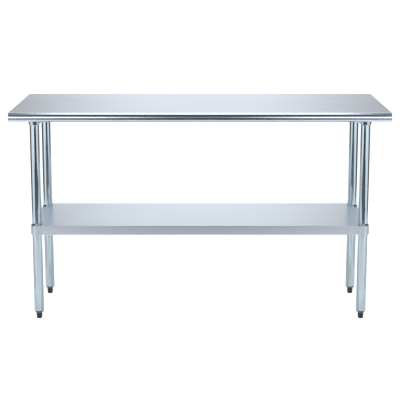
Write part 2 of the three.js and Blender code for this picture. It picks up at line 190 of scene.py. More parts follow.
def build(*bodies):
    """One mesh of several (points, faces) bodies, shared edges merged and faces turned outwards."""
    points = []
    faces = []
    for body_points, body_faces in bodies:
        offset = len(points)
        points += body_points
        faces += [tuple(index + offset for index in face) for face in body_faces]
    mesh = bpy.data.meshes.new("body")
    mesh.from_pydata(points, [], faces)
    work = bmesh.new()
    work.from_mesh(mesh)
    bmesh.ops.remove_doubles(work, verts=work.verts, dist=2e-6)
    bmesh.ops.recalc_face_normals(work, faces=work.faces)
    work.to_mesh(mesh)
    work.free()
    return mesh


def turned(profile, steps=ROUND, looped=False):
    """A body turned about Z. The profile lists (radius, z) or (radius, z, flats)."""
    return loft([ring(row[0], row[1], *row[2:], steps=steps) for row in profile], looped)


def arc(centre, radius, start, end, steps):
    """(u, v) points on an arc whose angles are in degrees."""
    angles = [math.radians(start + (end - start) * k / steps) for k in range(steps + 1)]
    return [
        (centre[0] + radius * math.cos(angle), centre[1] + radius * math.sin(angle))
        for angle in angles
    ]


def folded(path, thickness, radius, steps=6):
    """The outline of a sheet that is folded at each inner point of a path of (u, v) points."""
    corners = [Vector(point) for point in path]
    line = []
    for before, corner, after in zip(corners, corners[1:], corners[2:]):
        back = (before - corner).normalized()
        onward = (after - corner).normalized()
        half = back.angle(onward) / 2
        centre = corner + (back + onward).normalized() * radius / math.sin(half)
        spoke = corner + back * radius / math.tan(half) - centre
        turn = math.pi - 2 * half
        side = 1 if back.x * onward.y - back.y * onward.x < 0 else -1
        for k in range(steps + 1):
            arm = Matrix.Rotation(side * turn * k / steps, 2) @ spoke
            line.append((centre + arm, -side * arm.normalized()))
    first = (corners[1] - corners[0]).normalized()
    last = (corners[-1] - corners[-2]).normalized()
    line.insert(0, (corners[0], Vector((-first.y, first.x))))
    line.append((corners[-1], Vector((-last.y, last.x))))
    left = [point + normal * thickness / 2 for point, normal in line]
    right = [point - normal * thickness / 2 for point, normal in reversed(line)]
    return left + right


def bar(outline, start, end, along):
    """An outline of (u, v) points drawn out along X (u is Y) or along Y (u is X). v is Z."""
    if along == "x":
        rows = [[Vector((place, u, v)) for u, v in outline] for place in (start, end)]
    else:
        rows = [[Vector((u, place, v)) for u, v in outline] for place in (start, end)]
    return loft(rows)


def slab(outline, low, high):
    """An outline of (x, y) points made into a plate between two heights."""
    return loft([[Vector((x, y, z)) for x, y in outline] for z in (low, high)])


def block(low, high):
    """A box between two corners."""
    outline = [(low[0], low[1]), (high[0], low[1]), (high[0], high[1]), (low[0], high[1])]
    return slab(outline, low[2], high[2])


def carved(base, joined=(), cut=()):
    """A mesh joined with others and then cut by others."""
    scene = bpy.context.scene.collection
    work = bpy.data.objects.new("work", base)
    scene.objects.link(work)
    tools = []
    for meshes, operation in ((joined, "UNION"), (cut, "DIFFERENCE")):
        for mesh in meshes:
            tool = bpy.data.objects.new("tool", mesh)
            scene.objects.link(tool)
            tools.append(tool)
            step = work.modifiers.new("step", "BOOLEAN")
            step.solver = "EXACT"
            step.operation = operation
            step.object = tool
    bpy.context.view_layer.update()
    result = bpy.data.meshes.new_from_object(work.evaluated_get(bpy.context.evaluated_depsgraph_get()))
    for thing in [work, *tools]:
        bpy.data.objects.remove(thing)
    return result


def moved(mesh, matrix):
    """A moved copy of a mesh, turned outwards again where the matrix mirrors it."""
    copy = mesh.copy()
    copy.transform(matrix)
    if matrix.determinant() < 0:
        copy.flip_normals()
    return copy


def at_corner(corner, z=0.0):
    """Takes a mesh drawn round the leg's axis at the +X +Y corner to its own corner and height."""
    side_x, side_y = CORNERS[corner]
    place = Matrix.Translation((side_x * LEG_X, side_y * LEG_Y, z))
    return place @ Matrix.Diagonal((side_x, side_y, 1, 1))


def add_piece(name, mesh, slot, body, replaces=(), bevel=0.0, finish=None):
    """Puts a mesh into the scene as a piece of the table."""
    mesh.name = name
    mesh.materials.clear()
    mesh.materials.append(FINISHES[finish or slot])
    mesh.shade_smooth()
    mesh.set_sharp_from_angle(angle=SHARP_FROM)
    piece = bpy.data.objects.new(name, mesh)
    bpy.context.scene.collection.objects.link(piece)
    if bevel:
        softened = piece.modifiers.new("soft_edges", "BEVEL")
        softened.width = bevel
        softened.segments = 2
        softened.limit_method = "ANGLE"
        softened.angle_limit = BEVEL_FROM
    shading = piece.modifiers.new("flat_faces", "WEIGHTED_NORMAL")
    shading.keep_sharp = True
    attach(piece, body)
    if replaces:
        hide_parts(*replaces)
    return piece


# ------------------------------------------------------------------ materials


class Finish:
    """A procedural material: one Principled shader and the textures that vary it."""

    def __init__(self, name, metallic, roughness):
        self.material = bpy.data.materials.new(name)
        self.material.use_nodes = True
        self.nodes = self.material.node_tree.nodes
        self.links = self.material.node_tree.links
        self.nodes.clear()
        self.shader = self.nodes.new("ShaderNodeBsdfPrincipled")
        output = self.nodes.new("ShaderNodeOutputMaterial")
        self.links.new(self.shader.outputs["BSDF"], output.inputs["Surface"])
        self.shader.inputs["Metallic"].default_value = metallic
        self.shader.inputs["Roughness"].default_value = roughness
        self.coordinates = self.nodes.new("ShaderNodeTexCoord")
        self.place = self.coordinates.outputs["Object"]
        self.normal = None

    def scaled(self, scale):
        """The place on the piece, in cells: scale is cells per metre along X, Y and Z."""
        mapping = self.nodes.new("ShaderNodeMapping")
        mapping.inputs["Scale"].default_value = scale
        self.links.new(self.place, mapping.inputs["Vector"])
        return mapping.outputs["Vector"]

    def noise(self, scale, detail, roughness=0.55):
        texture = self.nodes.new("ShaderNodeTexNoise")
        texture.inputs["Scale"].default_value = 1
        texture.inputs["Detail"].default_value = detail
        texture.inputs["Roughness"].default_value = roughness
        self.links.new(self.scaled(scale), texture.inputs["Vector"])
        return texture.outputs["Fac"]

    def crystals(self, scale):
        """One random value for each crystal of a spangle."""
        cells = self.nodes.new("ShaderNodeTexVoronoi")
        cells.inputs["Scale"].default_value = 1
        self.links.new(self.scaled(scale), cells.inputs["Vector"])
        split = self.nodes.new("ShaderNodeSeparateColor")
        self.links.new(cells.outputs["Color"], split.inputs["Color"])
        return split.outputs["Red"]

    def height(self):
        """Height of the place on the piece, in metres."""
        split = self.nodes.new("ShaderNodeSeparateXYZ")
        self.links.new(self.place, split.inputs["Vector"])
        return split.outputs["Z"]

    def end_on(self):
        """1 where the surface faces along X, and 0 where it doesn't."""
        facing = self.nodes.new("ShaderNodeSeparateXYZ")
        self.links.new(self.coordinates.outputs["Normal"], facing.inputs["Vector"])
        return self.ranged(self.blended(facing.outputs["X"], facing.outputs["X"]), 0.4, 0.6)

    def ranged(self, value, start, end, low=0.0, high=1.0):
        span = self.nodes.new("ShaderNodeMapRange")
        span.inputs["From Min"].default_value = start
        span.inputs["From Max"].default_value = end
        span.inputs["To Min"].default_value = low
        span.inputs["To Max"].default_value = high
        self.links.new(value, span.inputs["Value"])
        return span.outputs["Result"]

    def blended(self, first, second, how="MULTIPLY"):
        combine = self.nodes.new("ShaderNodeMath")
        combine.operation = how
        self.links.new(first, combine.inputs[0])
        self.links.new(second, combine.inputs[1])
        return combine.outputs["Value"]

    def mixed(self, factor, first, second):
        """The first value where the factor is 0, and the second where it is 1."""
        mix = self.nodes.new("ShaderNodeMix")
        self.links.new(factor, mix.inputs["Factor"])
        self.links.new(first, mix.inputs["A"])
        self.links.new(second, mix.inputs["B"])
        return mix.outputs["Result"]

    def colour(self, value, first, second):
        """Base colour from first to second as value goes from 0 to 1."""
        mix = self.nodes.new("ShaderNodeMix")
        mix.data_type = "RGBA"
        mix.inputs["A"].default_value = (*first, 1)
        mix.inputs["B"].default_value = (*second, 1)
        self.links.new(value, mix.inputs["Factor"])
        self.links.new(mix.outputs["Result"], self.shader.inputs["Base Color"])

    def roughness(self, value):
        self.links.new(value, self.shader.inputs["Roughness"])

    def bump(self, value, depth, strength):
        """Adds relief of that depth in metres, on top of any before it."""
        relief = self.nodes.new("ShaderNodeBump")
        relief.inputs["Distance"].default_value = depth
        relief.inputs["Strength"].default_value = strength
        self.links.new(value, relief.inputs["Height"])
        if self.normal:
            self.links.new(self.normal, relief.inputs["Normal"])
        self.normal = relief.outputs["Normal"]
        self.links.new(self.normal, self.shader.inputs["Normal"])

    def brushed(self, amount):
        """Stretches reflections across grain that runs along X: a quarter turn off the tangent."""
        tangent = self.nodes.new("ShaderNodeTangent")
        tangent.direction_type = "RADIAL"
        tangent.axis = "X"
        self.links.new(tangent.outputs["Tangent"], self.shader.inputs["Tangent"])
        self.shader.inputs["Anisotropic"].default_value = amount
        self.shader.inputs["Anisotropic Rotation"].default_value = 0.25


def shade(colour, factor):
    return tuple(channel * factor for channel in colour)


def stainless_top():
    """Stainless sheet brushed along X, and so up and down the ends, with broad soft cloudiness."""
    finish = Finish("brushed_stainless", 1.0, 0.16)
    steel = (0.60, 0.64, 0.70)
    cloud = finish.noise((3, 9, 9), detail=2)
    ends = finish.end_on()
    strokes = finish.mixed(
        ends,
        finish.noise((6, 420, 420), detail=4, roughness=0.6),
        finish.noise((420, 420, 6), detail=4, roughness=0.6),
    )
    fine = finish.mixed(
        ends, finish.noise((10, 1500, 1500), detail=2), finish.noise((1500, 1500, 10), detail=2)
    )
    grain = finish.blended(cloud, strokes, "ADD")
    finish.colour(finish.ranged(grain, 0.6, 1.4), shade(steel, 0.92), shade(steel, 1.10))
    finish.roughness(finish.ranged(strokes, 0.3, 0.7, 0.12, 0.21))
    finish.bump(fine, 0.003 * MM, 0.4)
    finish.bump(finish.noise((2.5, 4, 4), detail=1), 0.12 * MM, 0.3)
    finish.brushed(0.4)
    return finish.material


def galvanised_sheet():
    """Galvanised sheet: faint crystals about 5 mm across, under a soft satin."""
    finish = Finish("galvanised_sheet", 1.0, 0.3)
    zinc = (0.635, 0.675, 0.725)
    spangle = finish.crystals((210, 210, 210))
    cloud = finish.noise((8, 8, 8), detail=3)
    finish.colour(finish.blended(spangle, cloud), shade(zinc, 0.985), shade(zinc, 1.045))
    finish.roughness(finish.ranged(spangle, 0, 1, 0.275, 0.305))
    finish.bump(finish.noise((420, 420, 420), detail=2), 0.003 * MM, 0.3)
    return finish.material


def galvanised_tube():
    """Bright galvanised tube with streaks along its length from drawing."""
    finish = Finish("galvanised_tube", 1.0, 0.1)
    zinc = (0.42, 0.48, 0.515)
    streaks = finish.noise((320, 320, 5), detail=3)
    cloud = finish.noise((30, 30, 6), detail=2)
    finish.colour(finish.blended(streaks, cloud, "ADD"), shade(zinc, 0.9), shade(zinc, 1.1))
    finish.roughness(finish.ranged(cloud, 0.3, 0.7, 0.07, 0.14))
    finish.bump(finish.noise((70, 70, 5), detail=1), 0.015 * MM, 0.3)
    return finish.material


def cast_alloy():
    """A die casting: satin, with a fine sandy grain and darker patches from the mould."""
    finish = Finish("cast_alloy", 1.0, 0.46)
    alloy = (0.56, 0.58, 0.61)
    patches = finish.noise((60, 60, 60), detail=4)
    finish.colour(finish.ranged(patches, 0.3, 0.7), shade(alloy, 0.86), shade(alloy, 1.1))
    finish.roughness(finish.ranged(patches, 0.3, 0.7, 0.40, 0.54))
    finish.bump(finish.noise((900, 900, 900), detail=3), 0.03 * MM, 0.6)
    return finish.material


def zinc_hardware():
    """Bright zinc plate, slightly mottled."""
    finish = Finish("zinc_plate", 1.0, 0.3)
    zinc = (0.62, 0.63, 0.64)
    mottle = finish.noise((300, 300, 300), detail=3)
    finish.colour(finish.ranged(mottle, 0.3, 0.7), shade(zinc, 0.85), shade(zinc, 1.08))
    finish.roughness(finish.ranged(mottle, 0.3, 0.7, 0.24, 0.40))
    finish.bump(finish.noise((1500, 1500, 1500), detail=2), 0.01 * MM, 0.4)
    return finish.material


def black_oxide():
    """Oiled black steel, worn a little greyer in places."""
    finish = Finish("black_oxide", 0.9, 0.42)
    mottle = finish.noise((500, 500, 500), detail=3)
    finish.colour(finish.ranged(mottle, 0.35, 0.7), (0.022, 0.023, 0.026), (0.07, 0.07, 0.075))
    finish.roughness(finish.ranged(mottle, 0.3, 0.7, 0.36, 0.52))
    finish.bump(finish.noise((1800, 1800, 1800), detail=2), 0.01 * MM, 0.4)
    return finish.material


def grey_plastic():
    """Grey nylon with the streaks of its moulding."""
    finish = Finish("grey_nylon", 0.0, 0.5)
    flow = finish.noise((40, 40, 120), detail=3)
    finish.colour(finish.ranged(flow, 0.3, 0.7), (0.07, 0.076, 0.085), (0.105, 0.112, 0.122))
    finish.roughness(finish.ranged(flow, 0.3, 0.7, 0.42, 0.58))
    finish.bump(finish.noise((1400, 1400, 1400), detail=2), 0.02 * MM, 0.5)
    return finish.material


def black_plastic():
    """Black nylon that is scuffed paler towards the floor."""
    finish = Finish("black_nylon", 0.0, 0.42)
    scuffs = finish.ranged(finish.noise((90, 90, 2600), detail=4, roughness=0.6), 0.45, 0.8)
    low_down = finish.ranged(finish.height(), 0.008, 0.001)
    worn = finish.blended(scuffs, low_down)
    finish.colour(worn, (0.018, 0.019, 0.021), (0.045, 0.045, 0.047))
    finish.roughness(finish.ranged(worn, 0, 1, 0.40, 0.75))
    finish.bump(finish.noise((1200, 1200, 1200), detail=2), 0.02 * MM, 0.5)
    return finish.material


def weld_metal():
    """Weld, tinted darker where it was hottest."""
    finish = Finish("weld_metal", 1.0, 0.4)
    heat = finish.noise((160, 160, 160), detail=3)
    finish.colour(finish.ranged(heat, 0.3, 0.7), (0.30, 0.29, 0.29), (0.58, 0.58, 0.6))
    finish.roughness(finish.ranged(heat, 0.3, 0.7, 0.32, 0.55))
    finish.bump(finish.noise((1000, 1000, 1000), detail=3), 0.05 * MM, 0.6)
    return finish.material


FINISHES = {
    "stainless_top": stainless_top(),
    "galvanised_sheet": galvanised_sheet(),
    "galvanised_tube": galvanised_tube(),
    "cast_alloy": cast_alloy(),
    "zinc_hardware": zinc_hardware(),
    "black_oxide": black_oxide(),
    "grey_plastic": grey_plastic(),
    "black_plastic": black_plastic(),
    "weld_metal": weld_metal(),
}


# ------------------------------------------------------------------ table top


def top_outline(inset):
    """The top's section as (y, z), from the front lip round both rolls to the rear lip."""
    radius = ROLL_RADIUS - inset
    foot = -2 * ROLL_RADIUS + inset
    front = arc((-ROLL_CENTRE, -ROLL_RADIUS), radius, 270, 90, ROLL_STEPS)
    rear = arc((ROLL_CENTRE, -ROLL_RADIUS), radius, 90, -90, ROLL_STEPS)
    flat = [(-TOP_FLAT, -inset), (TOP_FLAT, -inset)]
    return [(-MOUTH_Y, foot), *front, *flat, *rear, (MOUTH_Y, foot)]


def top_skin(stations):
    """Rows of the section along the top, closed below except over the mouth: (points, faces, count)."""
    points = []
    for x, inset in stations:
        points += [Vector((x, y, TOP_Z + z)) for y, z in top_outline(inset)]
    count = len(top_outline(0))
    faces = []
    for row in range(len(stations) - 1):
        over_mouth = stations[row][0] < 0 < stations[row + 1][0]
        for k in range(count - 1 if over_mouth else count):
            after = (k + 1) % count
            first = row * count
            second = first + count
            faces.append((first + k, first + after, second + after, second + k))
    faces.append(tuple(range(count)))
    faces.append(tuple(range((len(stations) - 1) * count, len(stations) * count)))
    return points, faces, count


def build_top():
    """An outer and an inner skin, joined round the mouth. The ends are rounded in plan and height."""
    half = TOP_LENGTH / 2
    rounding = [
        (TOP_EDGE * (1 - math.sin(angle)), TOP_EDGE * (1 - math.cos(angle)))
        for angle in (math.radians(90 - 90 / EDGE_STEPS * k) for k in range(EDGE_STEPS + 1))
    ]
    left = [(-half + depth, inset) for depth, inset in rounding] + [(-MOUTH_X, 0)]
    outer = left + [(-x, inset) for x, inset in reversed(left)]
    wall = half - TOP_SHEET
    inner = [(x, TOP_SHEET) for x in (-wall, -MOUTH_X, MOUTH_X, wall)]
    outer_points, outer_faces, count = top_skin(outer)
    inner_points, inner_faces, _ = top_skin(inner)
    offset = len(outer_points)
    faces = outer_faces + [tuple(index + offset for index in face) for face in inner_faces]
    first = (len(left) - 1) * count
    second = first + count
    inner_first = offset + count
    inner_second = inner_first + count
    for edge in (0, count - 1):
        faces.append((first + edge, second + edge, inner_second + edge, inner_first + edge))
    for row, inner_row in ((first, inner_first), (second, inner_second)):
        faces.append((row, row + count - 1, inner_row + count - 1, inner_row))
    mesh = build((outer_points + inner_points, faces))
    add_piece("rolled_top", mesh, "stainless_top", "table", ["tabletop_sheet"])


# ------------------------------------------------------------------ channels, studs and nuts


def hat(name, node, along, thickness, crown):
    """A hat channel with rounded folds in the place of its solid."""
    low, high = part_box(node)
    centre = (low + high) / 2
    across = (high.y - low.y) / 2 if along == "x" else (high.x - low.x) / 2
    half = thickness / 2
    side = crown / 2 - half
    path = [
        (-across, -half),
        (-side, -half),
        (-side, low.z - high.z + half),
        (side, low.z - high.z + half),
        (side, -half),
        (across, -half),
    ]
    outline = folded(path, thickness, 2 * thickness)
    if along == "x":
        body = bar(outline, low.x, high.x, "x")
        shift = (0, centre.y, high.z)
    else:
        body = bar(outline, low.y, high.y, "y")
        shift = (centre.x, 0, high.z)
    mesh = moved(build(body), Matrix.Translation(shift))
    add_piece(name, mesh, "galvanised_sheet", BODY_OF[node], [node])


def build_channels():
    for side in ("left", "right"):
        hat(f"cross_hat_{side}", f"cross_channel_{side}", "y", TOP_SHEET, CROSS_CROWN)
    hat("long_hat", "long_channel", "x", TOP_SHEET, LONG_CROWN)
    hat("shelf_hat", "shelf_channel", "x", SHELF_SHEET, LONG_CROWN)


def hex_nut(flats, height, bore):
    """A nut whose corners and bore are chamfered."""
    corner = flats / math.sqrt(3)
    rim = flats / 2 * 1.01
    chamfer = (corner - rim) * 0.6
    inner = 0.4 * MM
    profile = [
        (bore + inner, 0),
        (rim, 0),
        (corner, chamfer, flats),
        (corner, height - chamfer, flats),
        (rim, height),
        (bore + inner, height),
        (bore, height - inner),
        (bore, inner),
    ]
    return turned(profile, looped=True)


def weld_stud():
    """A 5 mm stud that hangs from z = 0, with a flared foot in the sheet: (points, faces)."""
    radius = 2.5 * MM
    tip = 1.9 * MM
    foot = 3.4 * MM
    rings = [ring(tip, -9.4 * MM, steps=STUD_ROUND)]
    rings += thread(radius, 0.35 * MM, 0.8 * MM, -9 * MM, -1.9 * MM, steps=STUD_ROUND)
    rings.append(ring(radius, -1.5 * MM, steps=STUD_ROUND))
    rings.append(ring(foot, -TOP_SHEET + 0.1 * MM, steps=STUD_ROUND))
    return loft(rings)


def build_studs_and_nuts():
    nut = build(hex_nut(flats=8 * MM, height=4 * MM, bore=2.55 * MM))
    stud_points, stud_faces = weld_stud()
    studs = []
    for node in sorted(name for name in frame["nodes"] if name.startswith("channel_nut_")):
        low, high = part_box(node)
        centre = (low + high) / 2
        mesh = moved(nut, Matrix.Translation((centre.x, centre.y, low.z)))
        number = node.rsplit("_", 1)[1]
        add_piece(f"hex_nut_{number}", mesh, "zinc_hardware", "table", [node])
        shift = Vector((centre.x, centre.y, TOP_Z))
        studs.append(([point + shift for point in stud_points], stud_faces))
    add_piece("weld_studs", build(*studs), "zinc_hardware", "table")


# ------------------------------------------------------------------ leg sockets


def set_screw(length):
    """A headless screw from z = 0 to its length, with a hexagon socket in its far end."""
    rings = [ring(SCREW_RADIUS - 0.9 * MM, 0)]
    rings += thread(SCREW_RADIUS, 0.5 * MM, 1 * MM, 0.6 * MM, length - 0.5 * MM)
    rings.append(ring(SCREW_RADIUS - 0.7 * MM, length))
    recess = SCREW_HEXAGON / math.sqrt(3)
    rings.append(ring(recess + 0.2 * MM, length))
    rings.append(ring(recess, length - 0.3 * MM, SCREW_HEXAGON))
    rings.append(ring(recess, length - 4 * MM, SCREW_HEXAGON))
    return build(loft(rings))


def screw_boss(profile, hole_start, aim):
    """The boss that a set screw goes through and the hole in it, as two meshes."""
    boss = build(turned(profile))
    hole = build(turned([(SCREW_HOLE, hole_start), (SCREW_HOLE, 40 * MM)]))
    return moved(boss, aim), moved(hole, aim)


def socket_body(height):
    """Flange, flared skirt and sleeve, hung from z = 0, with a boss for the set screw."""
    bore = 21.2 * MM
    lip = 24.4 * MM
    flange = 44 * MM
    middle = 1 * MM
    roof = -4 * MM
    skirt_foot = -24 * MM
    skirt_rise = 21 * MM
    skirt_start = lip + 0.8 * MM
    skirt_steps = 12
    profile = [
        (middle, roof),
        (bore - 1 * MM, roof),
        (bore, roof - 1 * MM),
        (bore, -height + 0.8 * MM),
        (bore + 0.8 * MM, -height),
        (lip - 1.6 * MM, -height),
        (lip - 0.5 * MM, -height + 0.8 * MM),
        (lip, -height + 2.6 * MM),
        (lip, -height + 5 * MM),
    ]
    # the skirt flares out from the sleeve to the flange on a quarter of an ellipse
    for k in range(skirt_steps + 1):
        angle = math.radians(90 * k / skirt_steps)
        out = skirt_start + (flange - skirt_start) * (1 - math.cos(angle))
        profile.append((out, skirt_foot + skirt_rise * math.sin(angle)))
    profile += [
        (flange - 0.4 * MM, -2.6 * MM),
        (flange, -2.1 * MM),
        (flange, -0.3 * MM),
        (flange - 0.3 * MM, 0),
        (middle, 0),
    ]
    shell = build(turned(profile, steps=TUBE_ROUND, looped=True))
    boss_profile = [
        (7.6 * MM, 22.2 * MM),
        (7 * MM, 25.4 * MM),
        (7 * MM, 32.5 * MM),
        (6.5 * MM, 33 * MM),
    ]
    boss, hole = screw_boss(boss_profile, 10 * MM, SOCKET_AIM)
    return carved(shell, [boss], [hole])


def weld_bead(radius, start, end, size):
    """A rippled bead of weld on an arc round Z at z = 0. Angles are in degrees."""
    rings = []
    steps = 44
    sides = 12
    ripples = 11
    ripple_depth = 0.16
    for k in range(steps + 1):
        share = k / steps
        angle = math.radians(start + (end - start) * share)
        fade = math.sin(math.pi * min(1, max(0.02, share))) ** 0.25
        width = size * fade * (1 + ripple_depth * math.sin(share * math.tau * ripples))
        out = Vector((math.cos(angle), math.sin(angle), 0))
        points = []
        for j in range(sides):
            turn = math.tau * j / sides
            points.append(out * (radius + width * math.cos(turn)) + Vector((0, 0, width * math.sin(turn))))
        rings.append(points)
    return loft(rings)


def build_sockets():
    low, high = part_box("leg_socket_front_right")
    body = socket_body(high.z - low.z)
    screw = set_screw(12 * MM)
    beads = build(
        *[weld_bead(44.4 * MM, start=turn + 18, end=turn + 72, size=1.9 * MM) for turn in (0, 90, 180, 270)]
    )
    for corner in CORNERS:
        place = at_corner(corner, high.z)
        add_piece(
            f"flared_socket_{corner}", moved(body, place), "galvanised_sheet", "table",
            [f"leg_socket_{corner}"], bevel=0.3 * MM, finish="galvanised_tube",
        )
        add_piece(
            f"grub_screw_{corner}", moved(screw, place @ SOCKET_AIM @ SCREW_START), "black_oxide",
            "table", [f"socket_screw_{corner}"],
        )
        add_piece(
            f"socket_welds_{corner}", moved(beads, place), "galvanised_sheet", "table",
            finish="weld_metal",
        )


# ------------------------------------------------------------------ legs and feet


def leg_tube():
    bore = TUBE_RADIUS - TUBE_WALL
    lip = 0.35 * MM
    profile = [
        (bore + lip, TUBE_BOTTOM),
        (TUBE_RADIUS - lip, TUBE_BOTTOM),
        (TUBE_RADIUS, TUBE_BOTTOM + lip),
        (TUBE_RADIUS, TUBE_TOP - lip),
        (TUBE_RADIUS - lip, TUBE_TOP),
        (bore + lip, TUBE_TOP),
        (bore, TUBE_TOP - lip),
        (bore, TUBE_BOTTOM + lip),
    ]
    return build(turned(profile, steps=TUBE_ROUND, looped=True))


def leg_end_insert():
    """A plug in the tube's end, over a cone that narrows towards the foot, with a hole for the stem."""
    low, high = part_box("foot_insert_front_right")
    rim = TUBE_BOTTOM - JOINT_GAP
    rim_radius = 20.25 * MM
    cone_foot = 13.2 * MM
    plug = TUBE_RADIUS - TUBE_WALL - 0.3 * MM
    bevel = 0.5 * MM
    profile = [
        (STEM_HOLE + bevel, low.z),
        (cone_foot - 0.6 * MM, low.z),
        (cone_foot, low.z + bevel),
        (rim_radius - 0.55 * MM, rim - 2.0 * MM),
        (rim_radius, rim - 1.4 * MM),
        (rim_radius, rim - 0.3 * MM),
        (rim_radius - 0.3 * MM, rim),
        (plug, rim),
        (plug, high.z - 3 * MM),
        (plug - 1.5 * MM, high.z),
        (STEM_HOLE + bevel, high.z),
        (STEM_HOLE, high.z - bevel),
        (STEM_HOLE, low.z + bevel),
    ]
    return build(turned(profile, steps=TUBE_ROUND, looped=True))


def build_legs():
    tube = leg_tube()
    insert = leg_end_insert()
    for corner in CORNERS:
        place = at_corner(corner)
        add_piece(
            f"tube_{corner}", moved(tube, place), "galvanised_tube", "table", [f"leg_tube_{corner}"]
        )
        add_piece(
            f"insert_{corner}", moved(insert, place), "grey_plastic", "table",
            [f"foot_insert_{corner}"],
        )


def bullet_foot(top):
    """A round nose with a flat pad, a spanner hexagon above it, and a blind hole for the stem."""
    flats = 22.5 * MM
    corner = flats / math.sqrt(3)
    pad = 8.5 * MM
    nose = 12 * MM
    curve = 5.5 * MM
    curve_steps = 8
    groove = 0.35 * MM
    rings = [ring(pad - 2.5 * MM, 0.4 * MM), ring(pad - 1.5 * MM, 0)]
    for k in range(curve_steps + 1):
        angle = math.radians(90 * k / curve_steps)
        rings.append(ring(pad + (nose - pad) * math.sin(angle), curve * (1 - math.cos(angle))))
    rings += [ring(nose, 8.6 * MM), ring(nose - groove, 9.1 * MM), ring(nose - groove, 9.6 * MM)]
    rings.append(ring(flats / 2 * 1.02, 9.9 * MM))
    rings.append(ring(corner, 11.2 * MM, flats))
    rings.append(ring(corner - 0.2 * MM, 11.8 * MM, flats))
    rings.append(ring(corner - 0.2 * MM, top - 2.2 * MM, flats))
    rings.append(ring(flats / 2, top - 0.3 * MM))
    rings += [ring(flats / 2 - 0.6 * MM, top), ring(STEM_HOLE + 0.5 * MM, top)]
    rings += [ring(STEM_HOLE, top - 0.5 * MM), ring(STEM_HOLE, 8 * MM)]
    return build(loft(rings))


def foot_stem():
    """A threaded rod whose pitch is what the foot moves in one turn."""
    low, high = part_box("foot_stem_front_right")
    radius = (high.x - low.x) / 2
    end = radius - 1.2 * MM
    pitch = 2 * MM
    rings = [ring(end, low.z)]
    rings += thread(radius, 0.95 * MM, pitch, low.z + 1 * MM, high.z - 1 * MM, rows=6)
    rings.append(ring(end, high.z))
    return build(loft(rings))


def build_feet():
    """The feet aren't mirrored from corner to corner, so that every thread stays right-handed."""
    foot = bullet_foot(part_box("foot_front_right")[1].z)
    stem = foot_stem()
    for corner, (side_x, side_y) in CORNERS.items():
        place = Matrix.Translation((side_x * LEG_X, side_y * LEG_Y, 0))
        add_piece(
            f"bullet_foot_{corner}", moved(foot, place), "black_plastic", f"foot_{corner}",
            [f"foot_{corner}"], bevel=0.25 * MM,
        )
        add_piece(
            f"threaded_stem_{corner}", moved(stem, place), "zinc_hardware", f"stem_{corner}",
            [f"foot_stem_{corner}"],
        )


# ------------------------------------------------------------------ undershelf


def clamp_outline(inset):
    """The clamp from above, its edges moved in by inset, from its inner end round the corner."""
    centre = (CLAMP_SIDE - CLAMP_CORNER, FRONT_FACE - CLAMP_CORNER)
    corner = arc(centre, CLAMP_CORNER - inset, 90, 0, 24)
    step_start, step_end = CLAMP_STEP
    return [
        (CLAMP_INNER - inset, FRONT_FACE - inset),
        *corner,
        (CLAMP_SIDE - inset, step_start),
        (SIDE_FACE - inset, step_end),
        (SIDE_FACE - inset, CLAMP_TAIL - inset),
    ]


def shelf_corner():
    """The sheet's edge at the +X +Y corner, from the end of the rear flange to that of the side's."""
    flange_end_x = CLAMP_INNER - JOINT_GAP
    flange_end_y = CLAMP_TAIL - JOINT_GAP
    edge = clamp_outline(SHEET_INSET)[1:-1]
    before = [point for point in edge if point[1] > 0 and math.hypot(*point) > LEG_HOLE]
    after = [point for point in edge if point[1] < 0 and math.hypot(*point) > LEG_HOLE]
    # the notch for the leg starts and ends a few degrees inside the gap between those two
    start = math.degrees(math.atan2(before[-1][1], before[-1][0])) - 1
    end = math.degrees(math.atan2(after[0][1], after[0][0])) + 5
    notch = arc((0, 0), LEG_HOLE, start, 360 + end, NOTCH_STEPS)
    return [
        (flange_end_x, FRONT_FACE - SHELF_BEND),
        (flange_end_x, FRONT_FACE - SHEET_INSET),
        *before,
        *notch,
        *after,
        (SIDE_FACE - SHEET_INSET, flange_end_y),
        (SIDE_FACE - SHELF_BEND, flange_end_y),
    ]


def shelf_plate():
    """The flat of the shelf, open along the four folds."""
    corners = []
    for side_x, side_y, backwards in ((1, 1, False), (1, -1, True), (-1, -1, False), (-1, 1, True)):
        outline = [(side_x * (LEG_X + x), side_y * (LEG_Y + y)) for x, y in shelf_corner()]
        corners.append(outline[::-1] if backwards else outline)
    flat = [point for corner in corners for point in corner]
    count = len(flat)
    points = [Vector((x, y, z)) for z in (SHELF_Z, SHELF_Z - SHELF_SHEET) for x, y in flat]
    faces = [tuple(range(count)), tuple(range(count, 2 * count))]
    start = 0
    for corner in corners:
        for k in range(start, start + len(corner) - 1):
            faces.append((k, k + 1, count + k + 1, count + k))
        start += len(corner)
    return points, faces


def shelf_flange(face, half_length, along):
    """A flange with a return lip, open where it joins the flat. face is its outer face's place."""
    half = SHELF_SHEET / 2
    hair = 1e-7  # keeps the straight run before the fold from having no length
    side = 1 if face > 0 else -1
    foot = SHELF_Z - SHELF_FLANGE + half
    path = [
        (face - side * (SHELF_BEND + hair), SHELF_Z - half),
        (face - side * half, SHELF_Z - half),
        (face - side * half, foot),
        (face - side * SHELF_LIP, foot),
    ]
    outline = folded(path, SHELF_SHEET, SHELF_BEND - half)
    points, faces = bar(outline, -half_length, half_length, along)
    count = len(outline)
    open_edge = {0, count - 1, count, 2 * count - 1}
    return points, [patch for patch in faces if set(patch) != open_edge]


def build_shelf():
    span_x = LEG_X + CLAMP_INNER - JOINT_GAP
    span_y = LEG_Y + CLAMP_TAIL - JOINT_GAP
    bodies = [shelf_plate()]
    for side in (-1, 1):
        bodies.append(shelf_flange(side * shelf_high.y, span_x, "x"))
        bodies.append(shelf_flange(side * shelf_high.x, span_y, "y"))
    add_piece("shelf_pan", build(*bodies), "galvanised_sheet", "undershelf", ["undershelf_sheet"])


